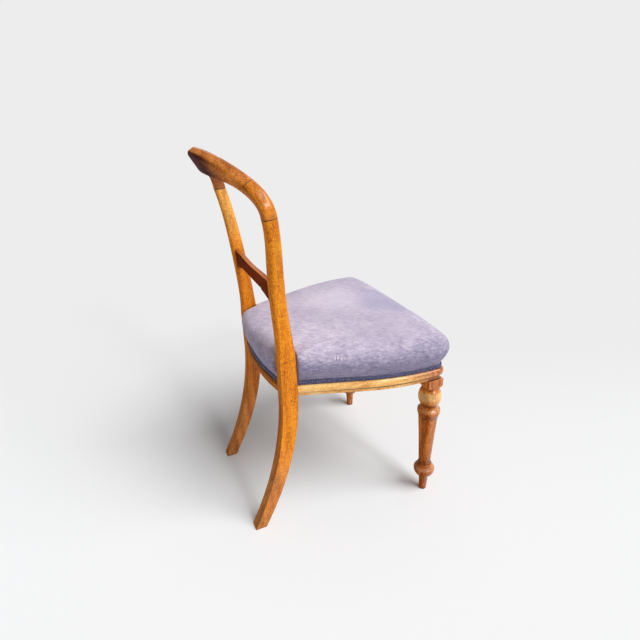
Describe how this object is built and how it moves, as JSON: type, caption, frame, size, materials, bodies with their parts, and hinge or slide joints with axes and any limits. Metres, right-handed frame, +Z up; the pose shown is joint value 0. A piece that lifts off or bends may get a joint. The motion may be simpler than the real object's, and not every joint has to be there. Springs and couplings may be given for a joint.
{
  "type": "dining chair",
  "caption": "Balloon back dining chair with a curved hoop back, a stuffed-over velvet seat, turned faceted front legs and swept rear legs.",
  "frame": {"origin": "on the floor, under the middle of the chair's overall box", "axes": "+Z up, -Y the way the sitter faces, +X the sitter's left"},
  "size_m": [0.494, 0.504, 0.875],
  "materials": {
    "show_wood": "golden oak, waxed to a soft gloss, with dark pores, worn at the edges",
    "turned_wood": "red-brown oak, turned, waxed, darkened in the hollows",
    "frame_wood": "bare beech",
    "velvet": "lavender grey cotton velvet with a brushed, blotchy nap",
    "braid": "navy looped gimp braid",
    "webbing": "woven jute",
    "hessian": "open plain-weave jute",
    "horsehair": "curled hair stuffing",
    "steel": "dull blued steel"
  },
  "bodies": {
    "root": {"rear_leg_left": "show_wood", "rear_leg_right": "show_wood", "shoulder_left": "show_wood", "shoulder_right": "show_wood", "crest_rail": "show_wood", "mid_rail": "show_wood", "front_seat_rail": "show_wood", "back_seat_rail": "show_wood", "side_seat_rail_left": "show_wood", "side_seat_rail_right": "show_wood", "front_leg_left": "turned_wood", "front_leg_right": "turned_wood", "corner_block_front_left": "frame_wood", "corner_block_front_right": "frame_wood", "corner_block_rear_left": "frame_wood", "corner_block_rear_right": "frame_wood", "hoop_dowels": "frame_wood", "mid_rail_dowels": "frame_wood", "seat_frame_dowels": "frame_wood", "corner_block_screws": "steel", "webbing_tacks": "steel", "long_webbing": "webbing", "cross_webbing": "webbing", "hessian": "hessian", "stuffing": "horsehair", "seat_cover": "velvet", "gimp_braid": "braid"}
  },
  "joints": []
}
